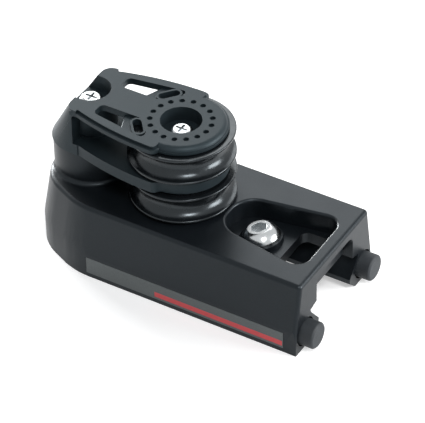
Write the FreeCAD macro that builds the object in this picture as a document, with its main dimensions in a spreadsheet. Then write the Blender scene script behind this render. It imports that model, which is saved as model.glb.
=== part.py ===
import FreeCAD, Part
import math
import os

import Sketcher

# Traveler end control: a cast body that slides over the end of a 32 mm track, with
# two stacked sheaves on ball bearings between a deck, a middle plate and a top cheek.
# X runs along the track with the open end at +X, Y runs across, Z is up and zero is
# the underside of the body. The origin is the middle of the bounding box's bottom.

doc = FreeCAD.newDocument("traveler_end_control")

# Driving dimensions in millimetres and degrees
DIMENSIONS = {
    "body_length": 171.0,
    "body_width": 81.0,
    "body_height": 43.2,
    "skirt_height": 15.4,
    "side_draft": 9.5,
    "bevel_length": 35.2,
    "bevel_angle": 24.8,
    "nose_flat": 3.8,
    "bevel_round": 45.0,
    "edge_round": 2.4,
    "cut_margin": 12.0,
    "channel_stop": 2.9,
    "channel_mouth_half": 22.8,
    "lip_gap": 33.2,
    "lip_low": 5.8,
    "lip_high": 8.6,
    "groove_half": 25.3,
    "groove_slope": 0.5,
    "groove_low": 18.7,
    "groove_edge": 20.6,
    "groove_high": 22.0,
    "channel_half": 19.1,
    "channel_roof": 37.3,
    "roof_round": 5.0,
    "pocket_setback": 7.5,
    "pocket_length": 54.5,
    "pocket_half": 12.9,
    "pocket_splay": 9.8,
    "pocket_wide_round": 7.5,
    "pocket_narrow_round": 13.6,
    "pocket_floor": 31.2,
    "pocket_lip_round": 1.5,
    "tub_bottom": 25.0,
    "tub_wall": 3.0,
    "well_setback": 9.0,
    "well_length": 18.4,
    "well_half": 16.5,
    "well_round": 5.0,
    "clamp_setback": 43.8,
    "clamp_tilt": 12.0,
    "clamp_seat": 31.9,
    "clamp_thread": 12.0,
    "clamp_head": 21.5,
    "clamp_head_height": 6.6,
    "clamp_flat": 12.3,
    "clamp_socket": 8.0,
    "clamp_socket_depth": 4.4,
    "clamp_length": 10.0,
    "clamp_pad": 23.2,
    "clamp_pad_height": 4.0,
    "bumper_inset": 10.0,
    "bumper_level": 9.8,
    "bumper_diameter": 14.6,
    "bumper_out": 7.7,
    "bumper_depth": 11.0,
    "bumper_chamfer": 0.9,
    "socket_diameter": 16.4,
    "socket_depth": 2.6,
    "label_low": 4.8,
    "label_high": 13.0,
    "label_setback": 7.5,
    "label_fore": 43.5,
    "label_recess": 0.6,
    "label_thickness": 0.4,
    "label_gap": 0.2,
    "sheave_diameter": 57.0,
    "sheave_width": 16.0,
    "sheave_lip": 1.5,
    "groove_depth": 5.8,
    "sheave_rim_round": 0.6,
    "sheave_bore": 34.2,
    "lower_sheave_gap": 1.7,
    "upper_sheave_gap": 1.9,
    "ball_circle": 33.0,
    "ball_diameter": 5.4,
    "ball_play": 0.3,
    "ball_count": 18.0,
    "hub_diameter": 31.8,
    "hub_washer_height": 1.2,
    "hub_washer_diameter": 30.0,
    "post_diameter": 9.0,
    "fit_play": 0.05,
    "plate_level": 62.2,
    "plate_height": 6.6,
    "cheek_level": 87.3,
    "cheek_height": 3.8,
    "rim_inset": 1.6,
    "rim_height": 1.5,
    "arm_side_inset": 0.3,
    "arm_half_head": 20.9,
    "arm_bend": 4.7,
    "arm_aft": 1.5,
    "arm_round": 4.0,
    "arm_side_round": 170.0,
    "throat_round": 3.0,
    "disc_inset": 3.5,
    "disc_shoulder": 3.0,
    "disc_shoulder_round": 3.2,
    "disc_step": 0.8,
    "disc_step_height": 1.3,
    "cup_diameter": 22.0,
    "cup_wall": 1.6,
    "cup_floor": 82.5,
    "cup_floor_height": 1.5,
    "dimple_count": 17.0,
    "dimple_circle": 32.6,
    "dimple_diameter": 3.1,
    "dimple_depth": 1.6,
    "pillar_margin": 3.5,
    "line_gap": 5.4,
    "pillar_diameter": 42.6,
    "pillar_root": 30.0,
    "pillar_foot": 2.5,
    "head_round_low": 20.0,
    "head_round_high": 6.0,
    "head_front_high": 2.8,
    "seam_front": 12.6,
    "seam_back": 2.0,
    "wall_back": 1.2,
    "head_back": 4.0,
    "boss_diameter": 27.0,
    "boss_split": 73.6,
    "boss_foot_diameter": 29.2,
    "boss_foot_height": 0.8,
    "notch_diameter": 21.6,
    "screw_thread": 6.0,
    "screw_head": 12.5,
    "screw_head_height": 3.2,
    "cross_width": 1.3,
    "cross_span": 6.6,
    "cross_depth": 1.9,
    "head_washer_height": 0.9,
    "insert_diameter": 9.0,
    "insert_length": 14.0,
    "head_screw_reach": 33.0,
    "centre_screw_length": 14.0,
    "deck_screw_length": 14.0,
    "deck_washer_height": 1.2,
    "deck_washer_diameter": 15.0,
    "slot_head_gap": 12.5,
    "slot_aft_inner": 29.3,
    "slot_aft_outer": 24.6,
    "slot_inner_half": 8.9,
    "slot_outer_head": 17.2,
    "slot_round": 3.0,
    "recess_bend": 19.6,
    "recess_aft": 10.0,
    "recess_aft_inner": 17.9,
    "recess_aft_outer": 22.3,
    "recess_depth": 1.7,
    "recess_round": 1.9,
    "recess_edge_round": 1.2,
    "eye_setback": 16.6,
    "eye_half": 15.4,
    "eye_angle": 50.0,
    "eye_length": 6.9,
    "eye_width": 4.8,
    "eye_rim": 1.2,
}


class Formula:
    """A formula over the sheet's cells: its text for the document and its value now."""

    def __init__(self, text, value):
        self.text = text
        self.value = value

    def joined(self, sign, other, value):
        return Formula("(%s %s %s)" % (self.text, sign, formula(other).text), value)

    def __add__(self, other):
        return self.joined("+", other, self.value + formula(other).value)

    def __sub__(self, other):
        return self.joined("-", other, self.value - formula(other).value)

    def __mul__(self, other):
        return self.joined("*", other, self.value * formula(other).value)

    def __truediv__(self, other):
        return self.joined("/", other, self.value / formula(other).value)

    def __neg__(self):
        return Formula("(-1 * %s)" % self.text, -self.value)


def formula(value):
    """Anything as a Formula: a Formula itself or a plain number."""
    if isinstance(value, Formula):
        return value
    return Formula(repr(float(value)), float(value))


def sine(angle):
    return Formula("sin(%s)" % angle.text, math.sin(math.radians(angle.value)))


def cosine(angle):
    return Formula("cos(%s)" % angle.text, math.cos(math.radians(angle.value)))


def tangent(angle):
    return Formula("tan(%s)" % angle.text, math.tan(math.radians(angle.value)))


def write_sheet():
    """Fill the spreadsheet with one named cell for each driving dimension."""
    sheet = doc.addObject("Spreadsheet::Sheet", "Sizes")
    for row, (name, value) in enumerate(DIMENSIONS.items(), start=1):
        sheet.set("A%d" % row, name)
        sheet.set("B%d" % row, str(value))
        sheet.setAlias("B%d" % row, name)
    doc.recompute()
    return sheet


SHEET = write_sheet()


def size(name):
    """The named cell of the sheet as a Formula."""
    return Formula("Sizes.%s" % name, float(SHEET.get(name)))


def bind(item, prop, value):
    """Set one property of an object and tie it to its formula."""
    item.setExpression(prop, formula(value).text)


def place(item, x=0.0, y=0.0, z=0.0):
    """Put an object at a place given by formulas."""
    bind(item, ".Placement.Base.x", x)
    bind(item, ".Placement.Base.y", y)
    bind(item, ".Placement.Base.z", z)


def new_body(label):
    """A body whose label is the name of the sub-part."""
    body = doc.addObject("PartDesign::Body", label)
    body.Label = label
    return body


def origin_plane(body, role):
    """One of the body's own origin planes."""
    for feature in body.Origin.OriginFeatures:
        if feature.Role == role:
            return feature
    raise ValueError("no plane " + role)


def new_sketch(body, name, role="XY_Plane", level=0.0):
    """A sketch on an origin plane, moved along that plane's normal."""
    sketch = body.newObject("Sketcher::SketchObject", name)
    sketch.AttachmentSupport = (origin_plane(body, role), [""])
    sketch.MapMode = "FlatFace"
    bind(sketch, ".AttachmentOffset.Base.z", level)
    return sketch


def pin_point(sketch, geometry, corner, x, y):
    """Hold one point of a sketch at a place given by formulas."""
    for kind, value in (("DistanceX", formula(x)), ("DistanceY", formula(y))):
        constraint = Sketcher.Constraint(kind, -1, 1, geometry, corner, value.value)
        index = sketch.addConstraint(constraint)
        bind(sketch, "Constraints[%d]" % index, value)


def add_outline(sketch, points):
    """Closed outline through points. A third entry on a point is the radius of the
    arc that runs from it to the next point; a negative radius bends the other way."""
    values = [(formula(point[0]), formula(point[1])) for point in points]
    first = sketch.GeometryCount
    count = len(points)
    for index, point in enumerate(points):
        start = FreeCAD.Vector(values[index][0].value, values[index][1].value, 0)
        after = values[(index + 1) % count]
        end = FreeCAD.Vector(after[0].value, after[1].value, 0)
        if len(point) == 3:
            sketch.addGeometry(arc_between(start, end, formula(point[2]).value))
        else:
            sketch.addGeometry(Part.LineSegment(start, end))
    for index, point in enumerate(points):
        previous = first + (index - 1) % count
        current = first + index
        if len(point) == 3:
            turned = formula(point[2]).value < 0
            radius = -formula(point[2]) if turned else formula(point[2])
            start_corner = 2 if turned else 1
        else:
            radius = None
            start_corner = 1
        pin_point(sketch, current, start_corner, point[0], point[1])
        before = points[index - 1]
        clockwise = len(before) == 3 and formula(before[2]).value < 0
        end_corner = 1 if clockwise else 2
        sketch.addConstraint(
            Sketcher.Constraint("Coincident", previous, end_corner, current, start_corner))
        if radius is not None:
            after = points[(index + 1) % count]
            hold_arc(sketch, current, point, after, radius)


def hold_arc(sketch, arc, start, end, radius):
    """Hold an arc between two pinned ends: by its radius, or a half circle by one
    coordinate of its centre, because its radius says nothing more."""
    across = formula(end[0]) - start[0]
    along = formula(end[1]) - start[1]
    if math.hypot(across.value, along.value) < 1.999 * radius.value:
        constraint = Sketcher.Constraint("Radius", arc, radius.value)
        bind(sketch, "Constraints[%d]" % sketch.addConstraint(constraint), radius)
        return
    kind = "DistanceY" if abs(across.value) > abs(along.value) else "DistanceX"
    axis = 1 if kind == "DistanceY" else 0
    middle = (formula(start[axis]) + end[axis]) / 2
    constraint = Sketcher.Constraint(kind, -1, 1, arc, 3, middle.value)
    bind(sketch, "Constraints[%d]" % sketch.addConstraint(constraint), middle)


def arc_between(start, end, radius):
    """The shorter arc from start to end: anticlockwise for a positive radius."""
    chord = end - start
    middle = (start + end) * 0.5
    side = FreeCAD.Vector(-chord.y, chord.x, 0)
    side.normalize()
    reach = math.sqrt(max(radius * radius - chord.Length * chord.Length / 4, 0))
    centre = middle + side * (reach if radius > 0 else -reach)
    first, second = (start, end) if radius > 0 else (end, start)
    begin = math.atan2(first.y - centre.y, first.x - centre.x)
    finish = math.atan2(second.y - centre.y, second.x - centre.x)
    circle = Part.Circle(centre, FreeCAD.Vector(0, 0, 1), abs(radius))
    return Part.ArcOfCircle(circle, begin, finish)


def add_circle(sketch, x, y, diameter):
    """A circle held by its centre and its diameter."""
    centre = FreeCAD.Vector(formula(x).value, formula(y).value, 0)
    radius = formula(diameter) / 2
    circle = Part.Circle(centre, FreeCAD.Vector(0, 0, 1), radius.value)
    index = sketch.addGeometry(circle)
    pin_point(sketch, index, 3, x, y)
    constraint = Sketcher.Constraint("Radius", index, radius.value)
    bind(sketch, "Constraints[%d]" % sketch.addConstraint(constraint), radius)


def add_pad(body, name, sketch, length, taper=None):
    """Raise a sketch into solid material."""
    pad = body.newObject("PartDesign::Pad", name)
    pad.Profile = sketch
    bind(pad, "Length", length)
    if taper is not None:
        bind(pad, "TaperAngle", taper)
    return finish_feature(body, pad)


def add_pocket(body, name, sketch, length, reverse=False):
    """Cut a sketch out of the solid and make sure that it really cuts."""
    before = body.Shape.Volume
    pocket = body.newObject("PartDesign::Pocket", name)
    pocket.Profile = sketch
    pocket.Reversed = reverse
    bind(pocket, "Length", length)
    finish_feature(body, pocket)
    if body.Shape.Volume > before - 1e-3:
        raise ValueError(name + " cuts nothing")
    return pocket


def add_revolution(body, name, sketch, cut=False):
    """Turn a sketch about its own vertical axis."""
    kind = "PartDesign::Groove" if cut else "PartDesign::Revolution"
    feature = body.newObject(kind, name)
    feature.Profile = sketch
    feature.ReferenceAxis = (sketch, ["V_Axis"])
    feature.Angle = 360
    return finish_feature(body, feature)


def add_fillet(body, name, base, edges, radius):
    """Round the named edges of a feature."""
    fillet = body.newObject("PartDesign::Fillet", name)
    fillet.Base = (base, edges)
    bind(fillet, "Radius", radius)
    return finish_feature(body, fillet)


def add_chamfer(body, name, base, edges, width):
    """Bevel the named edges of a feature."""
    chamfer = body.newObject("PartDesign::Chamfer", name)
    chamfer.Base = (base, edges)
    bind(chamfer, "Size", width)
    return finish_feature(body, chamfer)


def add_cylinder(body, name, diameter, height, x=0.0, y=0.0, z=0.0, cut=False, tilt=None):
    """A round bar added to the body or cut from it, along Z or tilted about Y."""
    kind = "PartDesign::SubtractiveCylinder" if cut else "PartDesign::AdditiveCylinder"
    cylinder = body.newObject(kind, name)
    bind(cylinder, "Radius", formula(diameter) / 2)
    bind(cylinder, "Height", height)
    place(cylinder, x, y, z)
    if tilt is not None:
        bind(cylinder, ".Placement.Rotation.Angle", tilt)
        cylinder.Placement.Rotation.Axis = FreeCAD.Vector(0, -1, 0)
    return finish_feature(body, cylinder)


def finish_feature(body, feature):
    """Make a feature the body's last one and compute it."""
    body.Tip = feature
    doc.recompute()
    return feature


def pick_edges(feature, test):
    """Names of the feature's edges that pass a test on the edge."""
    names = []
    for index, edge in enumerate(feature.Shape.Edges, start=1):
        if test(edge):
            names.append("Edge%d" % index)
    if not names:
        raise ValueError("no edge of " + feature.Label + " found")
    return names


def edge_middle(edge):
    """The point halfway along an edge."""
    return edge.valueAt((edge.FirstParameter + edge.LastParameter) / 2)


def near(first, second, reach=0.02):
    return abs(first - second) < reach


# Places along X, measured from the nose at minus X to the bumpers at plus X
end_face = (size("body_length") - size("bumper_out")) / 2
nose_tip = end_face - size("body_length")
pillar_x = nose_tip + size("pillar_margin") + size("pillar_diameter") / 2
head_offset = (size("pillar_diameter") + size("sheave_diameter")) / 2 + size("line_gap")
sheave_x = pillar_x + head_offset
channel_end = pillar_x + size("pillar_diameter") / 2 + size("channel_stop")
clamp_x = end_face - size("clamp_setback")

# Levels of the stack on the sheave axis
deck = size("body_height")
half_width = size("body_width") / 2
bumper_y = half_width - size("bumper_inset")
label_aft = end_face - size("label_setback")
label_fore = nose_tip + size("label_fore")
disc_radius = size("sheave_diameter") / 2 - size("disc_inset")
plate_top = size("plate_level") + size("plate_height")
cheek_top = size("cheek_level") + size("cheek_height")
lower_sheave_level = deck + size("lower_sheave_gap")
upper_sheave_level = plate_top + size("upper_sheave_gap")
lower_hub_level = deck + size("hub_washer_height")
cup_bottom = size("cup_floor") - size("cup_floor_height")
notch_floor = size("cup_floor") - size("head_washer_height")
post_hole = size("post_diameter") + size("fit_play") * 2
screw_hole = size("screw_thread") + size("fit_play") * 2

# Places seen from the sheave axis, the origin of the plates' own frames
pillar_local = -head_offset
front_low = pillar_local - size("pillar_diameter") / 2
front_high = pillar_local - size("head_front_high")
head_back = pillar_local + size("head_back")
seam_low = pillar_local - size("seam_front")
seam_high = pillar_local + size("seam_back")


def rectangle(sketch, x0, y0, x1, y1):
    """A rectangle between two corners."""
    add_outline(sketch, [(x0, y0), (x1, y0), (x1, y1), (x0, y1)])


def body_outline(sketch):
    """Plan of the body: straight sides, a bevel and a round nose. It runs on past the
    open end, which a flat cut makes square afterwards."""
    angle = size("bevel_angle")
    corner_x = nose_tip + size("bevel_length")
    nose_y = half_width - size("bevel_length") * tangent(angle)
    side_reach = size("bevel_round") * tangent(angle / 2)
    nose_reach = nose_y - size("nose_flat")
    nose_round = nose_reach / tangent(formula(45) - angle / 2)
    side_start = corner_x + side_reach
    side_end_x = corner_x - side_reach * cosine(angle)
    side_end_y = half_width - side_reach * sine(angle)
    nose_start_x = nose_tip + nose_reach * cosine(angle)
    nose_start_y = nose_y + nose_reach * sine(angle)
    far_x = end_face + size("cut_margin")
    add_outline(sketch, [
        (far_x, half_width),
        (side_start, half_width, size("bevel_round")),
        (side_end_x, side_end_y),
        (nose_start_x, nose_start_y, nose_round),
        (nose_tip, size("nose_flat")),
        (nose_tip, -size("nose_flat"), nose_round),
        (nose_start_x, -nose_start_y),
        (side_end_x, -side_end_y, size("bevel_round")),
        (side_start, -half_width),
        (far_x, -half_width),
    ])


def pocket_outline(sketch, wall):
    """Plan of the pocket, a round-cornered trapezoid that widens towards the open end,
    grown by a wall."""
    wall = formula(wall)
    splay = size("pocket_splay")
    aft = end_face - size("pocket_setback") + wall
    fore = end_face - size("pocket_setback") - size("pocket_length") - wall
    narrow = size("pocket_half") + wall
    wide = narrow + (aft - fore) * tangent(splay)
    aft_bend = size("pocket_wide_round") + wall
    fore_bend = size("pocket_narrow_round") + wall
    aft_reach = aft_bend * tangent(formula(45) + splay / 2)
    fore_reach = fore_bend * tangent(formula(45) - splay / 2)
    aft_x = aft - aft_reach * cosine(splay)
    aft_y = wide - aft_reach * sine(splay)
    fore_x = fore + fore_reach * cosine(splay)
    fore_y = narrow + fore_reach * sine(splay)
    add_outline(sketch, [
        (aft, aft_reach - wide), (aft, wide - aft_reach, aft_bend),
        (aft_x, aft_y), (fore_x, fore_y, fore_bend),
        (fore, narrow - fore_reach), (fore, fore_reach - narrow, fore_bend),
        (fore_x, -fore_y), (aft_x, -aft_y, aft_bend),
    ])


def channel_profile(sketch):
    """Section of the track channel: mouth, lips, side grooves and a rounded roof."""
    half = size("channel_half")
    roof = size("channel_roof")
    bend = size("roof_round")
    mouth = size("channel_mouth_half")
    lip = size("lip_gap") / 2
    groove = size("groove_half")
    groove_lip = groove - size("groove_slope")
    add_outline(sketch, [
        (-mouth, -size("cut_margin")), (mouth, -size("cut_margin")), (mouth, 0),
        (lip, size("lip_low")), (lip, size("lip_high")),
        (groove_lip, size("groove_low")), (groove, size("groove_edge")),
        (half, size("groove_high")), (half, roof - bend, bend),
        (half - bend, roof), (-half + bend, roof, bend), (-half, roof - bend),
        (-half, size("groove_high")), (-groove, size("groove_edge")),
        (-groove_lip, size("groove_low")), (-lip, size("lip_high")),
        (-lip, size("lip_low")), (-mouth, 0),
    ])


def is_upright(edge):
    """True for an edge that climbs."""
    low = min(vertex.Z for vertex in edge.Vertexes)
    high = max(vertex.Z for vertex in edge.Vertexes)
    return high - low > 1


def build_base_casting():
    """The cast body, with its channel, pocket tub, pillar and bumper sockets."""
    body = new_body("base_casting")
    skirt = new_sketch(body, "skirt_plan")
    body_outline(skirt)
    add_pad(body, "skirt", skirt, size("skirt_height"))
    shoulder = new_sketch(body, "shoulder_plan", level=size("skirt_height"))
    body_outline(shoulder)
    add_pad(body, "shoulder", shoulder, deck - size("skirt_height"), -size("side_draft"))
    end_cut = new_sketch(body, "end_cut_plan", "YZ_Plane", end_face)
    rectangle(end_cut, -half_width - 5, -5, half_width + 5, deck + 5)
    squared = add_pocket(body, "squared_end", end_cut, size("cut_margin") + 5, reverse=True)
    rim = pick_edges(squared, is_top_rim)
    rounded = add_fillet(body, "top_rim_round", squared, rim, size("edge_round"))
    channel = new_sketch(body, "channel_section", "YZ_Plane", end_face)
    channel_profile(channel)
    add_pocket(body, "track_channel", channel, end_face - channel_end)
    build_tub(body)
    build_pillar(body)
    add_cylinder(body, "post_bore", post_hole, deck - size("channel_roof") + 2,
                 sheave_x, 0, size("channel_roof") - 1, cut=True)
    build_sockets(body)
    label = new_sketch(body, "label_field", "XZ_Plane", half_width)
    rectangle(label, label_fore, size("label_low"), label_aft, size("label_high"))
    add_pocket(body, "label_recess", label, size("label_recess"))
    return body


def is_top_rim(edge):
    """True for the edges round the deck and the slanted ones of the open end."""
    middle = edge_middle(edge)
    if near(middle.z, deck.value):
        return True
    return near(middle.x, end_face.value) and is_upright(edge) and middle.z > deck.value / 2


def build_tub(body):
    """The pocket for the clamp bolt: a tub that hangs through the channel's roof."""
    plan = new_sketch(body, "tub_plan", level=size("tub_bottom"))
    pocket_outline(plan, size("tub_wall"))
    add_pad(body, "tub", plan, deck - size("tub_bottom") - 1)
    opening = new_sketch(body, "pocket_plan", level=deck)
    pocket_outline(opening, 0)
    pocket = add_pocket(body, "pocket", opening, deck - size("pocket_floor"))

    def pocket_rim(edge):
        middle = edge_middle(edge)
        inside = abs(middle.y) < half_width.value - 8 and middle.x < end_face.value - 4
        return near(middle.z, deck.value) and inside and middle.x > sheave_x.value

    rim = pick_edges(pocket, pocket_rim)
    pocket = add_fillet(body, "pocket_lip", pocket, rim, size("pocket_lip_round"))
    well = new_sketch(body, "well_plan", level=size("pocket_floor"))
    aft = end_face - size("well_setback")
    rectangle(well, aft - size("well_length"), -size("well_half"), aft, size("well_half"))
    well_cut = add_pocket(body, "well", well, size("pocket_floor") - size("tub_bottom") + 1)

    def well_corner(edge):
        middle = edge_middle(edge)
        low = near(min(v.Z for v in edge.Vertexes), size("tub_bottom").value)
        return is_upright(edge) and low and near(abs(middle.y), size("well_half").value)

    corners = pick_edges(well_cut, well_corner)
    add_fillet(body, "well_round", well_cut, corners, size("well_round"))
    tilt = size("clamp_tilt")
    depth = size("clamp_pad_height")
    add_cylinder(body, "clamp_pad", size("clamp_pad"), depth, clamp_x + depth * sine(tilt),
                 0, size("clamp_seat") - depth * cosine(tilt), tilt=tilt)
    add_cylinder(body, "clamp_spot_face", size("clamp_pad"), size("clamp_head_height"),
                 clamp_x, 0, size("clamp_seat"), cut=True, tilt=tilt)
    reach = size("clamp_length") + 4
    add_cylinder(body, "clamp_thread_bore", size("clamp_thread") + size("fit_play") * 2,
                 reach + 2, clamp_x + reach * sine(tilt), 0,
                 size("clamp_seat") - reach * cosine(tilt), cut=True, tilt=tilt)


def build_pillar(body):
    """The round pillar over the nose, with a soft foot and a bore for the insert."""
    pillar = add_cylinder(body, "pillar", size("pillar_diameter"),
                          size("plate_level") - size("pillar_root"),
                          pillar_x, 0, size("pillar_root"))

    def foot(edge):
        middle = edge_middle(edge)
        reach = math.hypot(middle.x - pillar_x.value, middle.y)
        return near(middle.z, deck.value) and near(reach, size("pillar_diameter").value / 2)

    add_fillet(body, "pillar_foot", pillar, pick_edges(pillar, foot), size("pillar_foot"))
    add_cylinder(body, "insert_bore", size("insert_diameter") + size("fit_play") * 2,
                 size("insert_length") + 2, pillar_x, 0,
                 size("plate_level") - size("insert_length") - 1, cut=True)


def build_sockets(body):
    """A stepped round socket for the bumper in each leg of the open end."""
    for name, diameter, depth in (
            ("socket_ring", size("socket_diameter"), size("socket_depth")),
            ("socket_bore", size("bumper_diameter") + size("fit_play") * 2,
             size("bumper_depth"))):
        sketch = new_sketch(body, name + "_section", "YZ_Plane", end_face)
        add_circle(sketch, -bumper_y, size("bumper_level"), diameter)
        add_circle(sketch, bumper_y, size("bumper_level"), diameter)
        add_pocket(body, name, sketch, depth)


def build_bumper(label, side):
    """A rubber plug that stands out of its socket, with a beveled face."""
    body = new_body(label)
    start = end_face - size("bumper_depth")
    sketch = new_sketch(body, label + "_section", "YZ_Plane", start)
    add_circle(sketch, bumper_y * side, size("bumper_level"), size("bumper_diameter"))
    plug = add_pad(body, label + "_plug", sketch, size("bumper_depth") + size("bumper_out"))
    tip = end_face.value + size("bumper_out").value
    face = pick_edges(plug, lambda edge: near(edge_middle(edge).x, tip))
    add_chamfer(body, label + "_bevel", plug, face, size("bumper_chamfer"))


def build_side_label():
    """The thin strip in its recess along the near side."""
    body = new_body("side_label")
    level = half_width - size("label_recess")
    sketch = new_sketch(body, "side_label_field", "XZ_Plane", level)
    gap = size("label_gap")
    rectangle(sketch, label_fore + gap, size("label_low") + gap,
              label_aft - gap, size("label_high") - gap)
    add_pad(body, "side_label_strip", sketch, size("label_thickness"))


def build_sheave(label, level):
    """A sheave with a rounded rope groove and a ball race in its bore."""
    body = new_body(label)
    place(body, sheave_x, 0, level + size("sheave_width") / 2)
    half = size("sheave_width") / 2
    rim = size("sheave_diameter") / 2
    bore = size("sheave_bore") / 2
    lip = half - size("sheave_lip")
    depth = size("groove_depth")
    groove_round = (depth * depth + lip * lip) / (depth * 2)
    profile = new_sketch(body, label + "_section", "XZ_Plane")
    add_outline(profile, [
        (bore, -half), (rim, -half), (rim, -lip, -groove_round), (rim, lip),
        (rim, half), (bore, half),
    ])
    turned = add_revolution(body, label + "_turned", profile)

    def ring(edge, radius):
        at = edge_middle(edge)
        return near(math.hypot(at.x, at.y), radius.value) and len(edge.Vertexes) == 1

    rims = pick_edges(turned, lambda edge: ring(edge, rim))
    add_fillet(body, label + "_rims", turned, rims, size("sheave_rim_round"))
    add_race(body, label, 0)


def add_race(body, label, level):
    """The ball race: a round groove on the ball circle."""
    race = new_sketch(body, label + "_race_section", "XZ_Plane")
    width = size("ball_diameter") + size("ball_play") * 2
    add_circle(race, size("ball_circle") / 2, level, width)
    add_revolution(body, label + "_race", race, cut=True)


def build_hub(label, level, top, recess=None):
    """An inner race: a sleeve on the post, with a seat for the cup if there is one."""
    body = new_body(label)
    place(body, sheave_x, 0, level)
    bore = post_hole / 2
    outer = size("hub_diameter") / 2
    height = top - level
    points = [(bore, 0), (outer, 0), (outer, height)]
    if recess is None:
        points.append((bore, height))
    else:
        cup = size("cup_diameter") / 2 + size("cup_wall") + size("fit_play")
        points.extend([(cup, height), (cup, recess - level), (bore, recess - level)])
    profile = new_sketch(body, label + "_section", "XZ_Plane")
    add_outline(profile, points)
    add_revolution(body, label + "_turned", profile)
    sheave_level = lower_sheave_level if recess is None else upper_sheave_level
    add_race(body, label, sheave_level + size("sheave_width") / 2 - level)


def build_balls(label, level):
    """One row of separate balls on the ball circle."""
    balls = []
    count = int(size("ball_count").value)
    middle = level + size("sheave_width") / 2
    for index in range(count):
        ball = doc.addObject("Part::Sphere", "%s_%02d" % (label, index + 1))
        bind(ball, "Radius", size("ball_diameter") / 2)
        turn = Formula("%.6f deg" % (360 * index / count), 360 * index / count)
        radius = size("ball_circle") / 2
        place(ball, sheave_x + radius * cosine(turn), radius * sine(turn), middle)
        balls.append(ball)
    row = doc.addObject("Part::Compound", label)
    row.Label = label
    row.Links = balls


def build_ring(label, x, level, outer, inner, height):
    """A flat ring, such as a washer, a sleeve or an insert."""
    body = new_body(label)
    place(body, x, 0, level)
    sketch = new_sketch(body, label + "_plan")
    add_circle(sketch, 0, 0, outer)
    add_circle(sketch, 0, 0, inner)
    add_pad(body, label + "_ring", sketch, height)


def build_pan_screw(label, x, seat, length, upward=True):
    """A pan head screw with a cross recess; its seat is the underside of the head."""
    body = new_body(label)
    place(body, x, 0, seat)
    if not upward:
        body.Placement.Rotation = FreeCAD.Rotation(FreeCAD.Vector(1, 0, 0), 180)
    head_radius = size("screw_head") / 2
    head_height = size("screw_head_height")
    shank = size("screw_thread") / 2
    profile = new_sketch(body, label + "_section", "XZ_Plane")
    add_outline(profile, [
        (0, -length), (shank - 0.6, -length), (shank, -length + 0.6), (shank, 0),
        (head_radius, 0), (head_radius, head_height * 0.3, head_height * 0.9),
        (head_radius - head_height * 0.7, head_height), (0, head_height),
    ])
    add_revolution(body, label + "_turned", profile)
    cross = new_sketch(body, label + "_cross_plan", level=head_height)
    arm = size("cross_span") / 2
    wing = size("cross_width") / 2
    add_outline(cross, [
        (wing, wing), (wing, arm), (-wing, arm), (-wing, wing), (-arm, wing), (-arm, -wing),
        (-wing, -wing), (-wing, -arm), (wing, -arm), (wing, -wing), (arm, -wing), (arm, wing),
    ])
    add_pocket(body, label + "_cross", cross, size("cross_depth"))


def build_clamp_bolt():
    """The button head bolt that clamps the track, tilted towards the nose."""
    body = new_body("track_clamp_bolt")
    place(body, clamp_x, 0, size("clamp_seat"))
    bind(body, ".Placement.Rotation.Angle", size("clamp_tilt"))
    body.Placement.Rotation.Axis = FreeCAD.Vector(0, -1, 0)
    head = size("clamp_head") / 2
    flat = size("clamp_flat") / 2
    top = size("clamp_head_height")
    shank = size("clamp_thread") / 2
    profile = new_sketch(body, "clamp_bolt_section", "XZ_Plane")
    add_outline(profile, [
        (0, -size("clamp_length")), (shank - 1, -size("clamp_length")),
        (shank, -size("clamp_length") + 1), (shank, 0), (head, 0),
        (head, 0.7, size("clamp_head") * 0.42), (flat, top), (0, top),
    ])
    add_revolution(body, "clamp_bolt_turned", profile)
    socket = new_sketch(body, "clamp_socket_plan", level=top)
    across = size("clamp_socket") / 2
    corner = across / cosine(formula(30))
    add_outline(socket, [
        (corner, 0), (corner / 2, across), (-corner / 2, across),
        (-corner, 0), (-corner / 2, -across), (corner / 2, -across),
    ])
    add_pocket(body, "clamp_socket", socket, size("clamp_socket_depth"))


def arms_outline(sketch, inset):
    """Plan of the two bowed arms that run from the head to the sheave axis."""
    inset = formula(inset)
    corner = size("arm_round") - inset
    aft = size("arm_aft") - inset
    wide = size("sheave_diameter") / 2 - size("arm_side_inset") - inset
    narrow = size("arm_half_head") - inset
    bend = pillar_local + size("arm_bend")
    bow = size("arm_side_round") - inset
    add_outline(sketch, [
        (aft, -wide + corner), (aft, wide - corner, corner), (aft - corner, wide, bow),
        (bend, narrow), (pillar_local, narrow), (pillar_local, -narrow),
        (bend, -narrow, bow), (aft - corner, -wide, corner),
    ])


def add_head(body, label):
    """The tapering head over the pillar: round below, blunt above."""
    low = new_sketch(body, label + "_head_low", level=size("plate_level"))
    head_section(low, front_low, size("pillar_diameter") / 2, size("head_round_low"))
    high = new_sketch(body, label + "_head_high", level=cheek_top)
    head_section(high, front_high, size("arm_half_head"), size("head_round_high"))
    loft = body.newObject("PartDesign::AdditiveLoft", label + "_head")
    loft.Profile = low
    loft.Sections = [high]
    loft.Ruled = True
    return finish_feature(body, loft)


def head_section(sketch, front, half, bend):
    """One section of the head, with two rounded corners towards the nose."""
    add_outline(sketch, [
        (head_back, -half), (head_back, half), (front + bend, half, bend),
        (front, half - bend), (front, -half + bend, bend), (front + bend, -half),
    ])


def cut_across(body, name, points):
    """Cut a side-view outline right across the body."""
    sketch = new_sketch(body, name + "_side", "XZ_Plane", -half_width)
    add_outline(sketch, points)
    return add_pocket(body, name, sketch, half_width * 2, reverse=True)


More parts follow.
